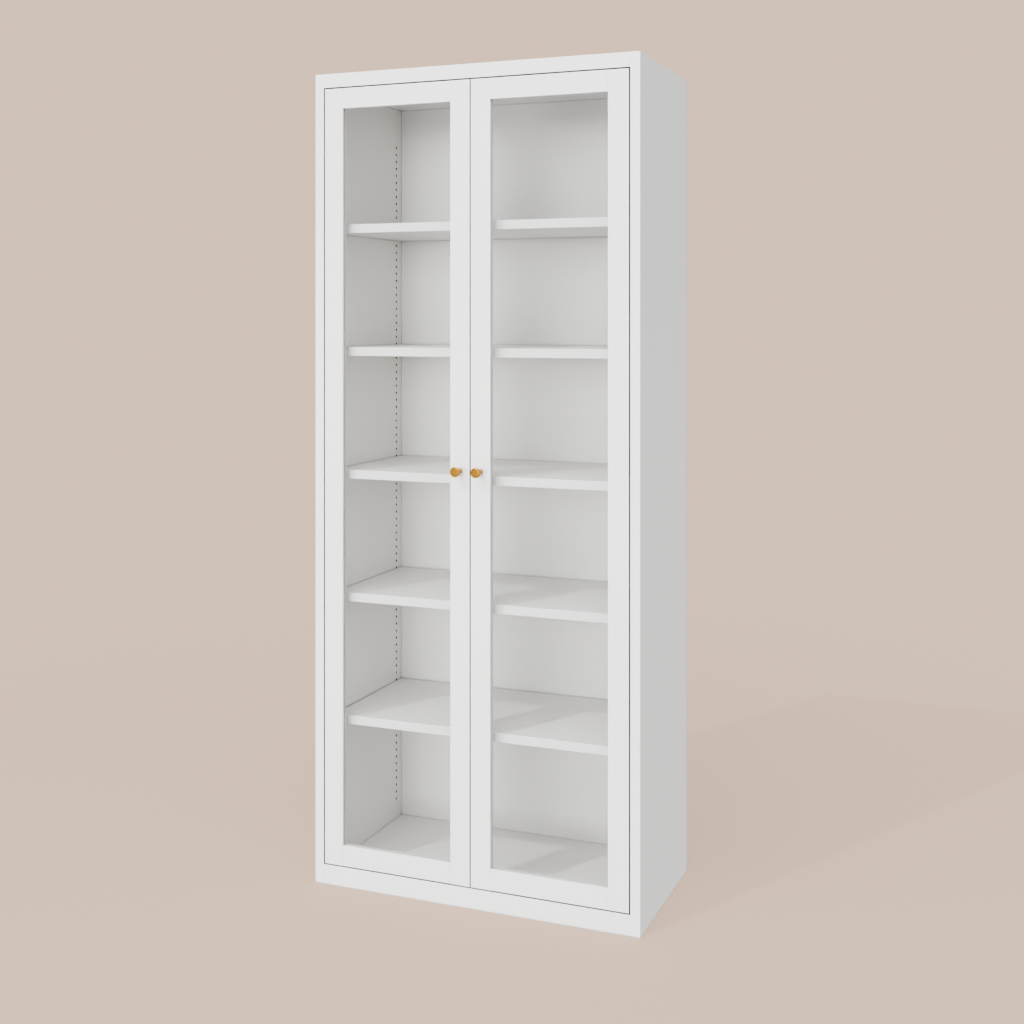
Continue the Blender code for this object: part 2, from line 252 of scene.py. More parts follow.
def fibre_board(name, first, second, relief):
    """Raw or sealed fibreboard: short tangled fibres and small dark flecks."""
    material, tree = new_material(name)
    vector = object_coordinates(tree)
    fibres = noise(tree, vector, FIBRE_SCALE, 8.0)
    shader = add_node(
        tree,
        "ShaderNodeBsdfPrincipled",
        Base_Color=blend_colours(tree, fibres, first, second),
        Roughness=spread(tree, noise(tree, vector, FIBRE_SHEEN_SCALE), *FIBRE_ROUGHNESS),
        Normal=bump(tree, fibres, relief),
    )
    finish_material(tree, shader.outputs["BSDF"])
    return material


def clear_glass(name):
    """Float glass in a thin pane: it lets light straight through and mirrors more towards its edges."""
    material, tree = new_material(name)
    vector = object_coordinates(tree)
    waves = bump(tree, noise(tree, vector, GLASS_WAVE_SCALE, 1.0), WAVE_HEIGHT)
    tint = blend_colours(tree, noise(tree, vector, GLASS_TINT_SCALE, 2.0), *GLASS_TINTS)
    through = add_node(tree, "ShaderNodeBsdfTransparent", Color=tint)
    mirror = add_node(
        tree,
        "ShaderNodeBsdfAnisotropic",
        Color=(1, 1, 1, 1),
        Roughness=spread(tree, noise(tree, vector, GLASS_FILM_SCALE), *GLASS_ROUGHNESS),
        Normal=waves,
    )
    facing_away = add_node(tree, "ShaderNodeLayerWeight", Blend=0.5, Normal=waves).outputs["Facing"]
    rise = add_node(tree, "ShaderNodeMath", {"operation": "POWER"})
    tree.links.new(facing_away, rise.inputs[0])
    rise.inputs[1].default_value = GLASS_RISE
    share = add_node(tree, "ShaderNodeMapRange", Value=rise.outputs[0], To_Min=GLASS_MIRROR)
    finish_material(tree, mix_shaders(tree, share.outputs["Result"], through, mirror).outputs[0])
    return material


def turned_metal(name, first, second, roughness, ring_scale):
    """Satin metal with fine turning lines round the piece's own axis."""
    material, tree = new_material(name)
    vector = object_coordinates(tree)
    rings = add_node(
        tree,
        "ShaderNodeTexWave",
        {"wave_type": "RINGS", "rings_direction": "Z"},
        Vector=vector,
        Scale=ring_scale,
        Distortion=1.2,
        Detail=3.0,
    ).outputs["Fac"]
    clouds = noise(tree, vector, METAL_CLOUD_SCALE)
    shader = add_node(
        tree,
        "ShaderNodeBsdfPrincipled",
        # base colour with painted shade in narrow gaps
        Base_Color=painted_crevice_shade(tree, blend_colours(tree, clouds, first, second)),
        Metallic=1.0,
        Roughness=spread(tree, clouds, roughness - TURNED_STRAY[0], roughness + TURNED_STRAY[1]),
        Normal=bump(tree, rings, METAL_LINE_HEIGHT, TURNING_STRENGTH),
    )
    finish_material(tree, shader.outputs["BSDF"])
    return material


def plated_metal(name, first, second, roughness):
    """Plated sheet and wire: cloudy plating with faint rolling lines."""
    material, tree = new_material(name)
    vector = object_coordinates(tree)
    lines = noise(tree, object_coordinates(tree, ROLLING_STRETCH), ROLLING_SCALE, 5.0)
    clouds = noise(tree, vector, PLATING_CLOUD_SCALE)
    shader = add_node(
        tree,
        "ShaderNodeBsdfPrincipled",
        # base colour with painted shade in narrow gaps
        Base_Color=painted_crevice_shade(tree, blend_colours(tree, clouds, first, second)),
        Metallic=1.0,
        Roughness=spread(tree, lines, roughness - PLATED_STRAY[0], roughness + PLATED_STRAY[1]),
        Normal=bump(tree, lines, METAL_LINE_HEIGHT),
    )
    finish_material(tree, shader.outputs["BSDF"])
    return material


def moulded_plastic(name, first, second, roughness, texture_scale):
    """Moulded plastic or rubber with a fine spark-eroded texture."""
    material, tree = new_material(name)
    vector = object_coordinates(tree)
    sheen = noise(tree, vector, PLASTIC_SHEEN_SCALE)
    shader = add_node(
        tree,
        "ShaderNodeBsdfPrincipled",
        Base_Color=blend_colours(tree, noise(tree, vector, PLASTIC_CLOUD_SCALE), first, second),
        Roughness=spread(tree, sheen, roughness - SATIN_STRAY, roughness + SATIN_STRAY),
        Normal=bump(tree, noise(tree, vector, texture_scale, 3.0), PLASTIC_HEIGHT),
    )
    finish_material(tree, shader.outputs["BSDF"])
    return material


MATERIALS = {
    "white_paint": lacquer("white_paint", (0.872, 0.864, 0.854), (0.890, 0.882, 0.872), 0.42),
    # back_board: the white lacquer made lighter than white_paint as painted light, so the back wall inside
    # the case reads brighter
    "back_board": lacquer("back_board", (0.902, 0.896, 0.887), (0.918, 0.912, 0.903), 0.55, 0.00006),
    "clear_glass": clear_glass("clear_glass"),
    "glazing_gasket": moulded_plastic(
        "glazing_gasket", (0.80, 0.80, 0.79), (0.83, 0.83, 0.82), 0.6, 700.0
    ),
    "satin_brass": turned_metal(
        "satin_brass", (0.49, 0.262, 0.063), (0.57, 0.318, 0.083), 0.30, 900.0
    ),
    "zinc_steel": plated_metal("zinc_steel", (0.56, 0.56, 0.57), (0.66, 0.66, 0.65), 0.34),
    "white_plastic": moulded_plastic(
        "white_plastic", (0.78, 0.78, 0.76), (0.82, 0.82, 0.80), 0.5, 1800.0
    ),
}
# Liner lacquer: the white paint made warmer and a little darker as painted shade, for the tone the inner
# side walls take inside the case
SHADED_LINER_PAINT = lacquer("liner_paint_painted_shade", (0.876, 0.850, 0.820), (0.894, 0.868, 0.838), 0.42)
# Pivot brackets: plated metal painted near black as painted shade, so they show dark in the door gaps
# rather than glinting
BRACKET_SHADE_METAL = plated_metal("bracket_metal_painted_shade", (0.075, 0.066, 0.056), (0.11, 0.097, 0.082), 0.45)
FERRITE = moulded_plastic("ferrite", (0.050, 0.050, 0.052), (0.075, 0.074, 0.074), 0.45, 900.0)
# Bare fibreboard inside the pin holes, its colour darkened to near black as painted shade
BORE_SHADE_BOARD = fibre_board("bore_board_painted_shade", (0.022, 0.016, 0.012), (0.045, 0.034, 0.026), 0.0001)
BOARD_EDGE = fibre_board("board_edge", (0.60, 0.585, 0.56), (0.68, 0.665, 0.64), 0.00006)


# ---------------------------------------------------------------- mesh helpers

def add_piece(name, bm, node, matrix=Matrix.Identity(4), materials=None, replaces=True):
    """A piece made of a bmesh; place_mesh says what it rides with and stands for."""
    mesh = bpy.data.meshes.new(name)
    bm.to_mesh(mesh)
    bm.free()
    return place_mesh(name, mesh, node, matrix, materials, replaces)


def place_mesh(name, mesh, node, matrix=Matrix.Identity(4), materials=None, replaces=True):
    """A piece that rides with a node's body, takes its slot and, unless told otherwise, stands for it."""
    piece = bpy.data.objects.new(name, mesh)
    bpy.context.collection.objects.link(piece)
    if not mesh.materials:
        for material in materials or [MATERIALS[SLOT_OF[node]]]:
            mesh.materials.append(material)
    piece.matrix_world = matrix
    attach(piece, BODY_OF[node])
    if replaces:
        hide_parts(node)
    return piece


def mark_sharp(bm):
    """Smooth across shallow angles only; a sharp edge never ends alone, but takes the next with it."""
    for face in bm.faces:
        face.smooth = True
    for edge in bm.edges:
        edge.smooth = edge.calc_face_angle(math.pi) < SHARP_ANGLE
    for vertex in bm.verts:
        if sum(not edge.smooth for edge in vertex.link_edges) == 1:
            others = (edge for edge in vertex.link_edges if edge.smooth)
            max(others, key=lambda edge: edge.calc_face_angle(0)).smooth = False


def ease_edges(piece, radius):
    """Rounds the edges that carry a bevel weight, and keeps the flats flat."""
    rounding = piece.modifiers.new("eased edges", "BEVEL")
    rounding.width = radius
    rounding.segments = EDGE_SEGMENTS
    rounding.limit_method = "WEIGHT"
    rounding.use_clamp_overlap = True
    rounded = bpy.data.meshes.new_from_object(piece.evaluated_get(bpy.context.evaluated_depsgraph_get()))
    piece.modifiers.clear()
    bm = bmesh.new()
    bm.from_mesh(rounded)
    bmesh.ops.dissolve_degenerate(bm, dist=WELD, edges=bm.edges)
    mark_sharp(bm)
    bm.to_mesh(rounded)
    bm.free()
    piece.data = rounded
    shading = piece.modifiers.new("flat faces", "WEIGHTED_NORMAL")
    shading.keep_sharp = True


def smooth_by_angle(mesh):
    mesh.shade_smooth()
    mesh.set_sharp_from_angle(angle=SHARP_ANGLE)


def near(point, boxes):
    return any(
        all(low[axis] - TOUCH < point[axis] < high[axis] + TOUCH for axis in range(3))
        for low, high in boxes
    )


def weigh_edges(bm, boxes=()):
    """Marks for rounding every long sharp edge that isn't a joint with one of the boxes."""
    weights = bm.edges.layers.float.new("bevel_weight_edge")
    for edge in bm.edges:
        if len(edge.link_faces) != 2 or edge.calc_face_angle() < SHARP_ANGLE:
            continue
        middle = (edge.verts[0].co + edge.verts[1].co) / 2
        if edge.calc_length() > SHORTEST_EASED and not near(middle, boxes):
            edge[weights] = 1.0


def bmesh_of_node(node):
    """A CAD node's solid with its flat faces whole again, and without the shading that came with it."""
    mesh = frame["nodes"][node].data.copy()
    mesh.attributes.remove(mesh.attributes["custom_normal"])
    bm = bmesh.new()
    bm.from_mesh(mesh)
    bpy.data.meshes.remove(mesh)
    bmesh.ops.remove_doubles(bm, verts=bm.verts, dist=WELD)
    bmesh.ops.dissolve_limit(bm, angle_limit=FLAT_ANGLE, verts=bm.verts, edges=bm.edges)
    return bm


def split_at(bm, boxes, own_box):
    """Loops cut where a neighbour's box ends, so that rounding can stop there; close cuts become one."""
    low, high = own_box
    corners = [corner for box in boxes for corner in box]
    for axis, direction in enumerate((X_AXIS, Y_AXIS, Z_AXIS)):
        levels = {vertex.co[axis] for vertex in bm.verts}
        for place in (corner[axis] for corner in corners):
            if not low[axis] + TOUCH < place < high[axis] - TOUCH:
                continue
            nearest = min(levels, key=lambda level: abs(level - place))
            if abs(nearest - place) < CUT_SPACING:
                place = nearest
            levels.add(place)
            bmesh.ops.bisect_plane(
                bm,
                geom=[*bm.verts, *bm.edges, *bm.faces],
                plane_co=direction * place,
                plane_no=direction,
                dist=WELD,
            )
    bmesh.ops.remove_doubles(bm, verts=bm.verts, dist=WELD)


def eased_board(node, radius, neighbours=(), materials=None):
    """A CAD board with its exposed edges rounded and its joints with neighbours left tight."""
    bm = bmesh_of_node(node)
    boxes = [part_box(neighbour) for neighbour in neighbours]
    split_at(bm, boxes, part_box(node))
    weigh_edges(bm, boxes)
    piece = add_piece(f"{node}_finished", bm, node, materials=materials)
    ease_edges(piece, radius)
    return piece


def filleted(corners):
    """An outline from (x, y, radius) corners, each rounded by an arc of that radius."""
    outline = []
    for index, (x, y, radius) in enumerate(corners):
        here = Vector((x, y))
        if radius == 0 or index in (0, len(corners) - 1):
            outline.append(here)
            continue
        before = (Vector(corners[index - 1][:2]) - here).normalized()
        after = (Vector(corners[index + 1][:2]) - here).normalized()
        half = before.angle(after) / 2
        start = here + before * (radius / math.tan(half))
        centre = here + (before + after).normalized() * (radius / math.sin(half))
        turn = (start - centre).angle_signed(here + after * (radius / math.tan(half)) - centre)
        for step in range(FILLET_STEPS + 1):
            arm = start - centre
            arm.rotate(Matrix.Rotation(-turn * step / FILLET_STEPS, 2))
            outline.append(centre + arm)
    return outline


def turned(outline, sides=ROUND_SIDES):
    """A solid turned about its own Z axis from (radius, height) points; radius 0 closes it."""
    bm = bmesh.new()
    rings = []
    for radius, height in outline:
        if radius == 0:
            rings.append([bm.verts.new((0, 0, height))] * sides)
            continue
        ring = []
        for step in range(sides):
            angle = 2 * math.pi * step / sides
            ring.append(bm.verts.new((radius * math.cos(angle), radius * math.sin(angle), height)))
        rings.append(ring)
    for lower, upper in zip(rings, rings[1:]):
        for step in range(sides):
            after = (step + 1) % sides
            corners = dict.fromkeys((lower[step], lower[after], upper[after], upper[step]))
            bm.faces.new(list(corners))
    bmesh.ops.recalc_face_normals(bm, faces=bm.faces)
    return bm


def carve(mesh, cutter):
    """The mesh with a cutter shape taken out of it."""
    body = bpy.data.objects.new("carve_body", mesh)
    tool_mesh = bpy.data.meshes.new("carve_tool")
    cutter.to_mesh(tool_mesh)
    cutter.free()
    tool = bpy.data.objects.new("carve_tool", tool_mesh)
    for item in (body, tool):
        bpy.context.collection.objects.link(item)
    cut = body.modifiers.new("cut", "BOOLEAN")
    cut.operation = "DIFFERENCE"
    cut.solver = "EXACT"
    cut.object = tool
    evaluated = body.evaluated_get(bpy.context.evaluated_depsgraph_get())
    result = bpy.data.meshes.new_from_object(evaluated)
    for item in (body, tool):
        bpy.data.objects.remove(item)
    return result


def facing(direction, place):
    """A matrix that turns +Z to direction and moves the piece to place."""
    turn = Vector(direction).to_track_quat("Z", "Y").to_matrix().to_4x4()
    return Matrix.Translation(place) @ turn


def centre_of(node):
    low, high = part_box(node)
    return (low + high) / 2


# ---------------------------------------------------------------- screws

SCREW_HEAD_RADIUS = 0.0036
SCREW_HEAD_HEIGHT = 0.0024
RECESS_ARM = 0.0017
RECESS_HALF_WIDTH = 0.00042
RECESS_DEPTH = 0.0015
RECESS_TAPER = 0.45
RECESS_CLEAR = 0.0003       # the cutter starts this far above the head
HEAD_FILLETS = (0.0003, 0.0002, 0.0001)     # at the cone's foot, at its top and at the rim
HEAD_RIM_HEIGHT = 0.0003
SCREW_PROUD = 0.00015       # a head stands this far above its plate


def cross_recess(top):
    """A cross-shaped driver recess, tapering downwards from just above top."""
    arm, half = RECESS_ARM, RECESS_HALF_WIDTH
    quarter = [(arm, -half), (arm, half), (half, half)]
    bm = bmesh.new()
    rings = []
    for height, scale in ((top + RECESS_CLEAR, 1.0), (top - RECESS_DEPTH, RECESS_TAPER)):
        ring = []
        for turn in range(4):
            spin = Matrix.Rotation(turn * math.pi / 2, 2)
            for point in quarter:
                x, y = spin @ Vector(point) * scale
                ring.append(bm.verts.new((x, y, height)))
        rings.append(ring)
    count = len(rings[0])
    for step in range(count):
        after = (step + 1) % count
        bm.faces.new((rings[0][step], rings[0][after], rings[1][after], rings[1][step]))
    for ring in rings:
        bm.faces.new(ring)
    bmesh.ops.recalc_face_normals(bm, faces=bm.faces)
    return bm


def screw_mesh(name, outline, top):
    """A screw head with a cross recess, from its outline and the height of its top."""
    bm = turned(outline, ROUND_SIDES // 2)
    mesh = bpy.data.meshes.new(name)
    bm.to_mesh(mesh)
    bm.free()
    mesh = carve(mesh, cross_recess(top))
    mesh.materials.append(MATERIALS["zinc_steel"])
    smooth_by_angle(mesh)
    return mesh


def flat_head():
    """A countersunk head whose top lies at height 0."""
    rim = SCREW_HEAD_RADIUS
    foot_fillet, cone_fillet, rim_fillet = HEAD_FILLETS
    corners = [
        (0, -SCREW_HEAD_HEIGHT, 0),
        (rim / 2, -SCREW_HEAD_HEIGHT, foot_fillet),
        (rim, -HEAD_RIM_HEIGHT, cone_fillet),
        (rim, 0, rim_fillet),
        (0, 0, 0),
    ]
    return screw_mesh("flat_head", filleted(corners), 0)


def set_screws(name, mesh, node, direction, places):
    """Screw heads at several places on one CAD node, as one piece."""
    bm = bmesh.new()
    raised = Vector(direction) * SCREW_PROUD
    for place in places:
        first = len(bm.verts)
        bm.from_mesh(mesh)
        bm.verts.ensure_lookup_table()
        bmesh.ops.transform(bm, matrix=facing(direction, Vector(place) + raised), verts=bm.verts[first:])
    piece = add_piece(name, bm, node, materials=[MATERIALS["zinc_steel"]], replaces=False)
    smooth_by_angle(piece.data)


FLAT_HEAD = flat_head()


# ---------------------------------------------------------------- carcass

BACK_SCREW_INSET = 0.011
BACK_SCREW_ENDS = 0.05
BACK_SCREW_ROWS = 9
BACK_SCREWS_ACROSS = 3
BACK_SCREW_FROM_TOP = 0.016
BACK_SCREW_FROM_BOTTOM = 0.028
FACES_FRONT = -0.5          # a face of the back board whose normal's y is below this is its front
PIN_ROUNDING = 0.0008


def carcass_boards():
    liners = ["side_liner_left", "side_liner_right"]
    across = ["top_panel", "plinth_rail", "bottom_panel"]
    for side, _ in SIDES:
        eased_board(f"side_panel_{side}", CASE_EDGE, [*across, "back_panel", f"side_liner_{side}"])
    sides = ["side_panel_left", "side_panel_right"]
    eased_board("top_panel", CASE_EDGE, [*sides, "back_panel", *liners])
    eased_board("plinth_rail", CASE_EDGE, [*sides, "bottom_panel"])
    eased_board("bottom_panel", CASE_EDGE, [*sides, *liners, "plinth_rail", "back_panel"])


def back_panel():
    """The back board: lacquered in front, lighter as painted light, sealed fibreboard behind and on its
    edges.
    """
    piece = eased_board("back_panel", CASE_EDGE, materials=[MATERIALS["back_board"], BOARD_EDGE])
    for face in piece.data.polygons:
        face.material_index = 0 if face.normal.y < FACES_FRONT else 1
    low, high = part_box("back_panel")
    places = []
    first, last = low.z + BACK_SCREW_ENDS, high.z - BACK_SCREW_ENDS
    for step in range(BACK_SCREW_ROWS):
        height = first + (last - first) * step / (BACK_SCREW_ROWS - 1)
        places += [(x, high.y, height) for x in (low.x + BACK_SCREW_INSET, high.x - BACK_SCREW_INSET)]
    for step in range(1, BACK_SCREWS_ACROSS + 1):
        across = low.x + (high.x - low.x) * step / (BACK_SCREWS_ACROSS + 1)
        heights = (low.z + BACK_SCREW_FROM_BOTTOM, high.z - BACK_SCREW_FROM_TOP)
        places += [(across, high.y, height) for height in heights]
    set_screws("back_screws", FLAT_HEAD, "back_panel", Y_AXIS, places)


def bore_cell(bm, corners, centre, face_x, inward):
    """A square of the liner's face round one blind bore; corners are its four vertices in order."""
    rings = []
    for radius, level in (
        (HOLE_RADIUS + HOLE_RIM, 0),
        (HOLE_RADIUS, HOLE_RIM),
        (HOLE_RADIUS, HOLE_DEPTH),
    ):
        ring = []
        for step in range(HOLE_SIDES):
            angle = 2 * math.pi * step / HOLE_SIDES + HOLE_START
            y = centre[0] + radius * math.cos(angle)
            z = centre[1] + radius * math.sin(angle)
            ring.append(bm.verts.new((face_x + inward * level, y, z)))
        rings.append(ring)
    quarter = HOLE_SIDES // 4
    for side in range(4):
        arc = [rings[0][(side * quarter + step) % HOLE_SIDES] for step in range(quarter + 1)]
        bm.faces.new([corners[(side + 1) % 4], corners[side], *arc])
    for outer, inner in zip(rings, rings[1:]):
        for step in range(HOLE_SIDES):
            after = (step + 1) % HOLE_SIDES
            wall = bm.faces.new((outer[step], outer[after], inner[after], inner[step]))
            # the bore's walls and floor take the near-black painted shade
            wall.material_index = 1
            wall.smooth = True
    floor = bm.faces.new(rings[-1])
    floor.material_index = 1


def liner(side, sign):
    """The inner skin of one side, with both of its rows of pin holes."""
    node = f"side_liner_{side}"
    low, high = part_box(node)
    face_x, back_x = (high.x, low.x) if sign < 0 else (low.x, high.x)
    front, rear = (centre_of(f"shelf_pin_1_{row}_{side}").y for row in ("front", "rear"))
    half = HOLE_PITCH / 2
    ys = [low.y, front - half, front + half, rear - half, rear + half, high.y]
    bored = {1: front, 3: rear}     # strips between two ys that hold bores, and the bores' own y
    zs = [low.z]
    zs += [FIRST_HOLE - half + HOLE_PITCH * step for step in range(HOLE_ROW_LENGTH + 1)]
    zs += [high.z]
    bm = bmesh.new()
    grid = [[bm.verts.new((face_x, y, z)) for z in zs] for y in ys]
    for i in range(len(ys) - 1):
        for j in range(len(zs) - 1):
            corners = [grid[i][j], grid[i + 1][j], grid[i + 1][j + 1], grid[i][j + 1]]
            if i in bored and 0 < j <= HOLE_ROW_LENGTH:
                centre = (bored[i], (zs[j] + zs[j + 1]) / 2)
                bore_cell(bm, corners, centre, face_x, sign)
            else:
                bm.faces.new(corners)
    border = [line[0] for line in grid]
    border += grid[-1][1:]
    border += [line[-1] for line in reversed(grid[:-1])]
    border += list(reversed(grid[0][1:-1]))
    behind = [bm.verts.new((back_x, vertex.co.y, vertex.co.z)) for vertex in border]
    count = len(border)
    for step in range(count):
        after = (step + 1) % count
        bm.faces.new((border[step], border[after], behind[after], behind[step]))
    bm.faces.new(behind)
    bmesh.ops.recalc_face_normals(bm, faces=bm.faces)
    weights = bm.edges.layers.float.new("bevel_weight_edge")
    for first, second in zip(grid[0], grid[0][1:]):
        bm.edges.get((first, second))[weights] = 1.0
    piece = add_piece(f"{node}_bored", bm, node, materials=[SHADED_LINER_PAINT, BORE_SHADE_BOARD])
    ease_edges(piece, SHELF_EDGE)


def shelves():
    for node in SHELVES:
        eased_board(node, SHELF_EDGE)


def shelf_pins():
    """Steel pins with rounded ends, each lying across the end of its shelf."""
    for node in frame["nodes"]:
        if not node.startswith("shelf_pin_"):
            continue
        low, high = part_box(node)
        length = high.x - low.x
        radius = (high.z - low.z) / 2
        corners = [
            (0, -length / 2, 0),
            (radius, -length / 2, PIN_ROUNDING),
            (radius, length / 2, PIN_ROUNDING),
            (0, length / 2, 0),
        ]
        bm = turned(filleted(corners), ROUND_SIDES // 2)
        piece = add_piece(f"{node}_turned", bm, node, facing(X_AXIS, centre_of(node)))
        smooth_by_angle(piece.data)


# ---------------------------------------------------------------- fittings

POCKET_HALF_WIDTH = 0.0085
POCKET_HALF_HEIGHT = 0.0040
POCKET_DEPTH = 0.0030
POCKET_PLAY = 0.0002
POLE_THICK = 0.0014
POLE_PROUD = 0.0006         # the pole plates stand this far in front of the magnet
POLE_EDGE = 0.00015
CATCH_EDGE = 0.0012
CATCH_SCREW_INSET = 0.006
STRIKE_CORNER = 0.002
BRACKET_THICK = 0.0016
BRACKET_SCREWS = (0.007, 0.021)     # from the bracket's inner end
BUSH_BORE = 0.00307
BUSH_ROUNDING = 0.0004


def rounded_plate(low, high, corner, axis):
    """A thin plate between two corners, its outline rounded in the plane across axis."""
    others = [i for i in range(3) if i != axis]
    bm = bmesh.new()
    rings = []
    for level in (low[axis], high[axis]):
        ring = []
        for turn, (u_end, v_end) in enumerate(((high, high), (low, high), (low, low), (high, low))):
            u = u_end[others[0]] + (corner if u_end is low else -corner)
            v = v_end[others[1]] + (corner if v_end is low else -corner)
            for step in range(FILLET_STEPS + 1):
                angle = (turn + step / FILLET_STEPS) * math.pi / 2
                point = [0.0, 0.0, 0.0]
                point[axis] = level
                point[others[0]] = u + corner * math.cos(angle)
                point[others[1]] = v + corner * math.sin(angle)
                ring.append(bm.verts.new(point))
        rings.append(ring)
    count = len(rings[0])
    for step in range(count):
        after = (step + 1) % count
        bm.faces.new((rings[0][step], rings[0][after], rings[1][after], rings[1][step]))
    for ring in rings:
        bm.faces.new(ring)
    bmesh.ops.recalc_face_normals(bm, faces=bm.faces)
    return bm


def block(bm, low, high):
    """A box between two corners, added to a bmesh; returns its new vertices."""
    place = Matrix.Translation((Vector(low) + Vector(high)) / 2)
    size = Matrix.Diagonal((*(Vector(high) - Vector(low)), 1))
    return bmesh.ops.create_cube(bm, size=1, matrix=place @ size)["verts"]


def magnetic_catch():
    """A moulded body under the top panel, with a magnet between two pole plates for each door."""
    node = "magnetic_catch"
    low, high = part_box(node)
    middle = (low + high) / 2
    across = [centre_of(f"door_{side}_strike").x for side, _ in SIDES]
    pockets = bmesh.new()
    for x in across:
        corner = (x - POCKET_HALF_WIDTH, low.y - POCKET_DEPTH, middle.z - POCKET_HALF_HEIGHT)
        opposite = (x + POCKET_HALF_WIDTH, low.y + POCKET_DEPTH, middle.z + POCKET_HALF_HEIGHT)
        block(pockets, corner, opposite)
    blank = bpy.data.meshes.new("catch_blank")
    bm = bmesh_of_node(node)
    bm.to_mesh(blank)
    bm.free()
    bm = bmesh.new()
    bm.from_mesh(carve(blank, pockets))
    weigh_edges(bm)
    ease_edges(add_piece("magnetic_catch_body", bm, node), CATCH_EDGE)
    for (side, _), x in zip(SIDES, across):
        magnet(side, x, low.y, middle.z)
    screw_xs = (low.x + CATCH_SCREW_INSET, middle.x, high.x - CATCH_SCREW_INSET)
    places = [(x, middle.y, low.z) for x in screw_xs]
    set_screws("magnetic_catch_screws", FLAT_HEAD, node, -Z_AXIS, places)


def magnet(side, x, front, z):
    """Two steel pole plates with a dark magnet between them, just inside their pocket."""
    bm = bmesh.new()
    half = POCKET_HALF_WIDTH - POCKET_PLAY
    top = POCKET_HALF_HEIGHT - POCKET_PLAY
    inner = top - POLE_THICK
    near_face, far_face = front + POCKET_PLAY, front + POCKET_DEPTH
    layers = ((inner, top, 0, 0), (-top, -inner, 0, 0), (-inner, inner, POLE_PROUD, 1))
    for bottom, roof, sink, index in layers:
        first = len(bm.faces)
        block(bm, (x - half, near_face + sink, z + bottom), (x + half, far_face, z + roof))
        bm.faces.ensure_lookup_table()
        for face in bm.faces[first:]:
            face.material_index = index
    weigh_edges(bm)
    materials = [MATERIALS["zinc_steel"], FERRITE]
    piece = add_piece(f"catch_magnet_{side}", bm, "magnetic_catch", materials=materials, replaces=False)
    ease_edges(piece, POLE_EDGE)


def strikes():
    for side, _ in SIDES:
        node = f"door_{side}_strike"
        low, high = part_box(node)
        bm = rounded_plate(low, high, STRIKE_CORNER, 1)
        smooth_by_angle(add_piece(f"{node}_plate", bm, node).data)
        middle = (low + high) / 2
        set_screws(f"{node}_screw", FLAT_HEAD, node, Y_AXIS, [(middle.x, high.y, middle.z)])


def pivots():
    for side, sign in SIDES:
        for end, up in ENDS:
            node = f"pivot_bracket_{end}_{side}"
            # brackets in near-black painted shade
            eased_board(node, FITTING_EDGE, materials=[BRACKET_SHADE_METAL])
            low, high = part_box(node)
            seat = high.z - BRACKET_THICK if up > 0 else low.z + BRACKET_THICK
            inner = low.x if sign > 0 else high.x
            y = (low.y + high.y) / 2
            places = [(inner + sign * step, y, seat) for step in BRACKET_SCREWS]
            set_screws(f"{node}_screws", FLAT_HEAD, node, (0, 0, -up), places)
            bush(f"pivot_bush_{end}_{side}")


def bush(node):
    """A turned bush with a bore for the pivot pin."""
    low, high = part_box(node)
    outer = (high.x - low.x) / 2
    length = high.z - low.z
    corners = [
        (BUSH_BORE, -length / 2, 0),
        (outer, -length / 2, BUSH_ROUNDING),
        (outer, length / 2, BUSH_ROUNDING),
        (BUSH_BORE, length / 2, 0),
    ]
    outline = filleted(corners)
    bm = turned([*outline, outline[0]], ROUND_SIDES // 2)
    bmesh.ops.remove_doubles(bm, verts=bm.verts, dist=WELD)
    piece = add_piece(f"{node}_turned", bm, node, facing(Z_AXIS, centre_of(node)))
    smooth_by_angle(piece.data)


# ---------------------------------------------------------------- doors

GASKET_PLAY = 0.0003        # round the glazing strip in its rebate
GASKET_LIP = 0.45           # of the strip's width and thickness, where its slope begins and ends
GASKET_FILLETS = (0.0002, 0.0008, 0.0012)       # at the rebate's corner and at the slope's two ends
KNOB_FOOT = (0.0060, 0.0022)        # radius and height
KNOB_STEM = 0.0046                  # radius
KNOB_STEM_START = 0.0040
KNOB_CAP = (0.0125, 0.0085, 0.0072)     # where the cap's flare, chamfer and rim begin, from its face
KNOB_RIM = 0.0018
KNOB_CHAMFER = 0.0030
KNOB_FLARE_FILLET = 0.0060
KNOB_FILLET = 0.0012                # at the stem's foot and round the cap's back
KNOB_EDGE_FILLETS = (0.0003, 0.0008, 0.0010)    # under the foot, on top of it and round the cap's face
SCREW_SHANK = (0.0020, 0.0040)      # radius and the length that shows
SCREW_FACE = 0.0024                 # height of the knob screw's head
SCREW_DOME = 0.75                   # of the head's radius, where its dome becomes flat
SCREW_FILLETS = (0.0002, 0.0008)    # at its sharp edges and on its dome


def door_frame(side):
    stiles = [f"door_{side}_stile_hinge", f"door_{side}_stile_meeting"]
    rails = [f"door_{side}_rail_top", f"door_{side}_rail_bottom"]
    for node in stiles:
        eased_board(node, DOOR_EDGE, rails)
    for node in rails:
        eased_board(node, DOOR_EDGE, stiles)


def pane(side):
    return eased_board(f"door_{side}_glass", FITTING_EDGE)


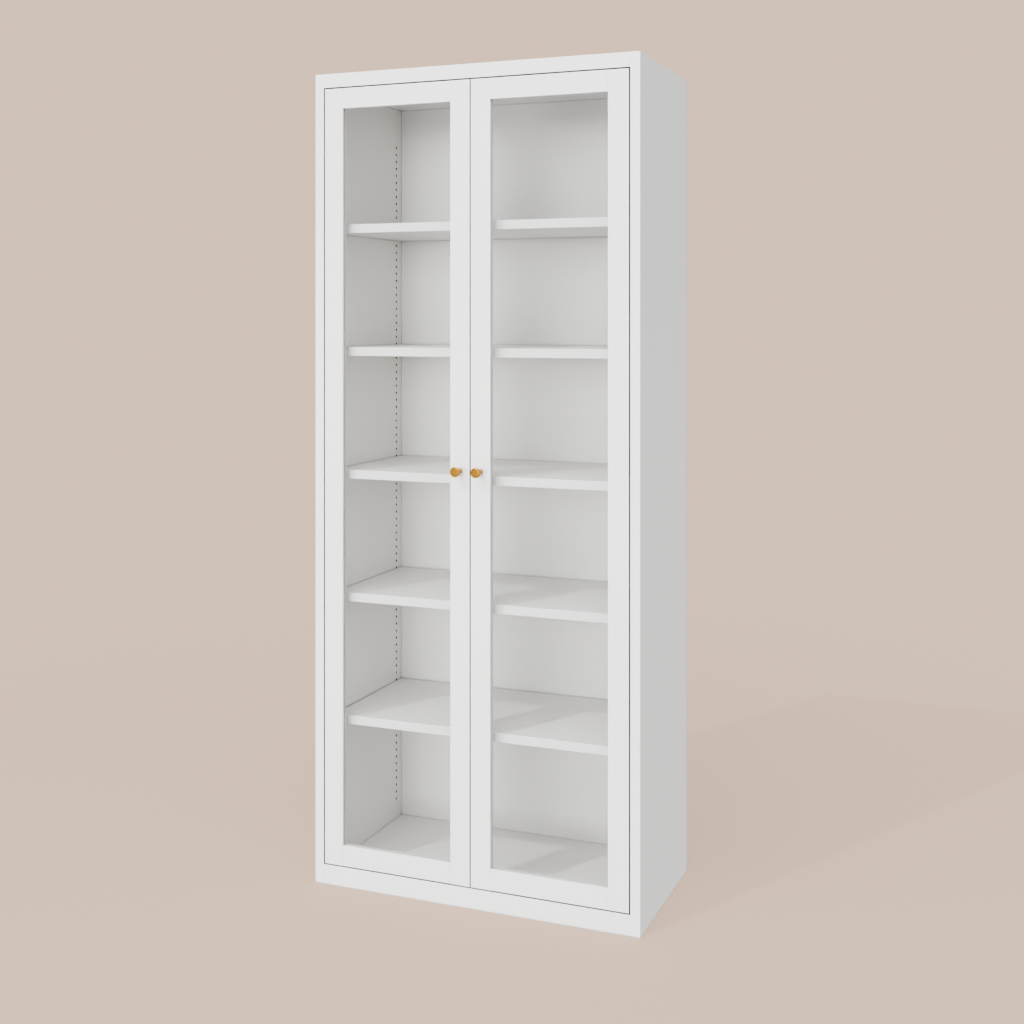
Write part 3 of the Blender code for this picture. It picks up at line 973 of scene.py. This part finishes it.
def gasket(side):
    """The glazing strip, mitred at its corners, with a soft slope towards the glass."""
    node = f"door_{side}_gasket"
    low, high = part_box(node)
    sight_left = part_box(f"door_{side}_rail_top")[0].x - GASKET_PLAY
    bite = sight_left - low.x
    thick = high.y - low.y
    corner_fillet, start_fillet, end_fillet = GASKET_FILLETS
    corners = [
        (bite, 0, 0),
        (0, 0, corner_fillet),
        (0, thick * GASKET_LIP, start_fillet),
        (bite * GASKET_LIP, thick, end_fillet),
        (bite, thick, 0),
    ]
    outline = filleted(corners)
    bm = bmesh.new()
    rings = []
    for x, outward_x, z, outward_z in (
        (low.x + bite, -1, low.z + bite, -1),
        (high.x - bite, 1, low.z + bite, -1),
        (high.x - bite, 1, high.z - bite, 1),
        (low.x + bite, -1, high.z - bite, 1),
    ):
        points = [(x + outward_x * u, low.y + v, z + outward_z * u) for u, v in outline]
        rings.append([bm.verts.new(point) for point in points])
    count = len(outline)
    for index, ring in enumerate(rings):
        following = rings[(index + 1) % len(rings)]
        for step in range(count):
            after = (step + 1) % count
            bm.faces.new((ring[step], ring[after], following[after], following[step]))
    bmesh.ops.recalc_face_normals(bm, faces=bm.faces)
    smooth_by_angle(add_piece(f"{node}_strip", bm, node).data)


def knob(side):
    """A turned knob: a foot, a slim stem and a flat cap with rounded edges."""
    node = f"door_{side}_knob"
    low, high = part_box(node)
    reach = high.y - low.y
    cap = (high.x - low.x) / 2
    foot_radius, foot_height = KNOB_FOOT
    flare, chamfer, rim = (reach - back for back in KNOB_CAP)
    base_fillet, foot_fillet, face_fillet = KNOB_EDGE_FILLETS
    corners = [
        (0, 0, 0),
        (foot_radius, 0, base_fillet),
        (foot_radius, foot_height, foot_fillet),
        (KNOB_STEM, KNOB_STEM_START, KNOB_FILLET),
        (KNOB_STEM, flare, KNOB_FLARE_FILLET),
        (cap - KNOB_CHAMFER, chamfer, KNOB_FILLET),
        (cap, rim, KNOB_FILLET),
        (cap, reach - KNOB_RIM, face_fillet),
        (cap - KNOB_RIM, reach, face_fillet),
        (0, reach, 0),
    ]
    place = Vector(((low.x + high.x) / 2, high.y, (low.z + high.z) / 2))
    bm = turned(filleted(corners))
    smooth_by_angle(add_piece(f"{node}_turned", bm, node, facing(-Y_AXIS, place)).data)


def knob_screw(side):
    """The washer-faced screw that holds the knob from behind the door."""
    node = f"door_{side}_knob_screw"
    low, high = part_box(node)
    head = (high.x - low.x) / 2
    shank, showing = SCREW_SHANK
    edge_fillet, dome_fillet = SCREW_FILLETS
    corners = [
        (0, -showing, 0),
        (shank, -showing, edge_fillet),
        (shank, 0, 0),
        (head, 0, edge_fillet),
        (head, SCREW_FACE / 2, dome_fillet),
        (head * SCREW_DOME, SCREW_FACE, dome_fillet),
        (0, SCREW_FACE, 0),
    ]
    mesh = screw_mesh(f"knob_screw_{side}", filleted(corners), SCREW_FACE)
    place = Vector(((low.x + high.x) / 2, high.y - SCREW_FACE, (low.z + high.z) / 2))
    place_mesh(f"{node}_head", mesh, node, facing(Y_AXIS, place))


# ---------------------------------------------------------------- studio

BACKDROP = (0.7751, 0.5833, 0.467)
FLOOR_PAPER = (0.61, 0.46, 0.372)
FLOOR_BOUNCE = (0.62, 0.60, 0.585)      # the light that the floor throws back on the bookcase
FLOOR_RADIUS = 60.0
FLOOR_SIDES = 96
FLOOR_FADE = (1.6, 4.5)     # how far out the floor starts to fade into the backdrop, and where it has
FLOOR_GLOW = 0.65           # the share of the floor's brightness near the bookcase that needs no lamp
CAMERA_PLACE = (1.3753, -3.3541, 1.4684)
CAMERA_YAW = 21.85
CAMERA_LENS = 48.635
CAMERA_SHIFT = -0.1897

WORLD_LIGHT = ((0.98, 1.0, 1.02), 0.42)     # colour and strength
SUNS = (    # name, direction that it shines in, strength, size across in degrees
    ("key", (0.5, 1.0, -1.118), 0.80, 1.2),
    ("front", (-0.04, 1.0, 0.0), 0.62, 15.0),
    ("front_soft", (-0.04, 1.0, 0.0), 1.91, 40.0),
    ("above", (0.0, 0.5, -1.0), 1.80, 60.0),
    ("right", (-1.0, 0.4, -0.3), 0.59, 50.0),
)
SOFTBOX = ((-0.7, -2.4, 1.1), (-0.2, -0.2, 1.1), (1.0, 1.0), 10.5)      # place, target, size, power
UNLIT = "unlit_panes"


def floor():
    """A pale floor that fades into the backdrop, and throws an even, nearly neutral light back."""
    material, tree = new_material("floor")
    place = add_node(tree, "ShaderNodeTexCoord").outputs["Object"]
    reach = add_node(tree, "ShaderNodeVectorMath", {"operation": "LENGTH"})
    tree.links.new(place, reach.inputs[0])
    fade = add_node(
        tree,
        "ShaderNodeMapRange",
        {"interpolation_type": "SMOOTHSTEP"},
        Value=reach.outputs["Value"],
        From_Min=FLOOR_FADE[0],
        From_Max=FLOOR_FADE[1],
        To_Min=FLOOR_GLOW,
    )
    paper = add_node(tree, "ShaderNodeBsdfDiffuse", Color=(*FLOOR_PAPER, 1))
    beyond = add_node(tree, "ShaderNodeEmission", Color=(*BACKDROP, 1))
    seen = mix_shaders(tree, fade.outputs["Result"], paper, beyond)
    thrown_back = add_node(tree, "ShaderNodeEmission", Color=(*FLOOR_BOUNCE, 1))
    camera_ray = add_node(tree, "ShaderNodeLightPath").outputs["Is Camera Ray"]
    finish_material(tree, mix_shaders(tree, camera_ray, thrown_back, seen).outputs[0])
    bm = bmesh.new()
    bmesh.ops.create_circle(bm, cap_ends=True, segments=FLOOR_SIDES, radius=FLOOR_RADIUS)
    mesh = bpy.data.meshes.new("floor")
    bm.to_mesh(mesh)
    bm.free()
    mesh.materials.append(material)
    ground = bpy.data.objects.new("floor", mesh)
    bpy.context.collection.objects.link(ground)


def world(colour, strength):
    """Even light from all round; the camera sees the backdrop's colour instead."""
    sky = bpy.data.worlds.new("studio")
    bpy.context.scene.world = sky
    sky.use_nodes = True
    tree = sky.node_tree
    tree.nodes.clear()
    light = add_node(tree, "ShaderNodeBackground", Color=(*colour, 1), Strength=strength)
    seen = add_node(tree, "ShaderNodeBackground", Color=(*BACKDROP, 1), Strength=1.0)
    camera_ray = add_node(tree, "ShaderNodeLightPath").outputs["Is Camera Ray"]
    output = add_node(tree, "ShaderNodeOutputWorld")
    tree.links.new(mix_shaders(tree, camera_ray, light, seen).outputs[0], output.inputs["Surface"])


def hang_lamp(name, data, direction):
    """A lamp that shines in a direction on all but the panes, which would mirror its shape."""
    lamp = bpy.data.objects.new(name, data)
    bpy.context.collection.objects.link(lamp)
    lamp.rotation_euler = Vector(direction).to_track_quat("-Z", "Y").to_euler()
    lamp.light_linking.receiver_collection = bpy.data.collections[UNLIT]
    return lamp


def leave_unlit(panes):
    """Sets aside the panes that no lamp lights; they still mirror the even light of the world."""
    unlit = bpy.data.collections.new(UNLIT)
    for piece in panes:
        unlit.objects.link(piece)
    for member in unlit.collection_objects:
        member.light_linking.link_state = "EXCLUDE"


def sun(name, direction, strength, across):
    """A distant light; across is its size in the sky, in degrees."""
    data = bpy.data.lights.new(name, "SUN")
    data.energy = strength
    data.angle = math.radians(across)
    hang_lamp(name, data, direction)


def softbox(name, place, target, size, power):
    """A square lamp by the front, which no glossy surface mirrors."""
    data = bpy.data.lights.new(name, "AREA")
    data.shape = "RECTANGLE"
    data.size, data.size_y = size
    data.energy = power
    lamp = hang_lamp(name, data, Vector(target) - Vector(place))
    lamp.location = place
    lamp.visible_glossy = False


def studio():
    floor()
    world(*WORLD_LIGHT)
    for name, direction, strength, across in SUNS:
        sun(name, direction, strength, across)
    softbox("softbox", *SOFTBOX)
    settings = bpy.context.scene.view_settings
    settings.view_transform = "AgX"
    settings.look = "AgX - High Contrast"


def camera():
    data = bpy.data.cameras.new("camera")
    data.lens = CAMERA_LENS
    data.shift_y = CAMERA_SHIFT
    eye = bpy.data.objects.new("camera", data)
    bpy.context.collection.objects.link(eye)
    eye.location = CAMERA_PLACE
    eye.rotation_euler = (math.radians(90), 0, math.radians(CAMERA_YAW))
    bpy.context.scene.camera = eye


def build():
    """Makes every piece; returns the two panes."""
    carcass_boards()
    back_panel()
    shelves()
    shelf_pins()
    magnetic_catch()
    strikes()
    pivots()
    for side, sign in SIDES:
        liner(side, sign)
        door_frame(side)
        gasket(side)
        knob(side)
        knob_screw(side)
    return [pane(side) for side, _ in SIDES]


leave_unlit(build())
studio()
camera()
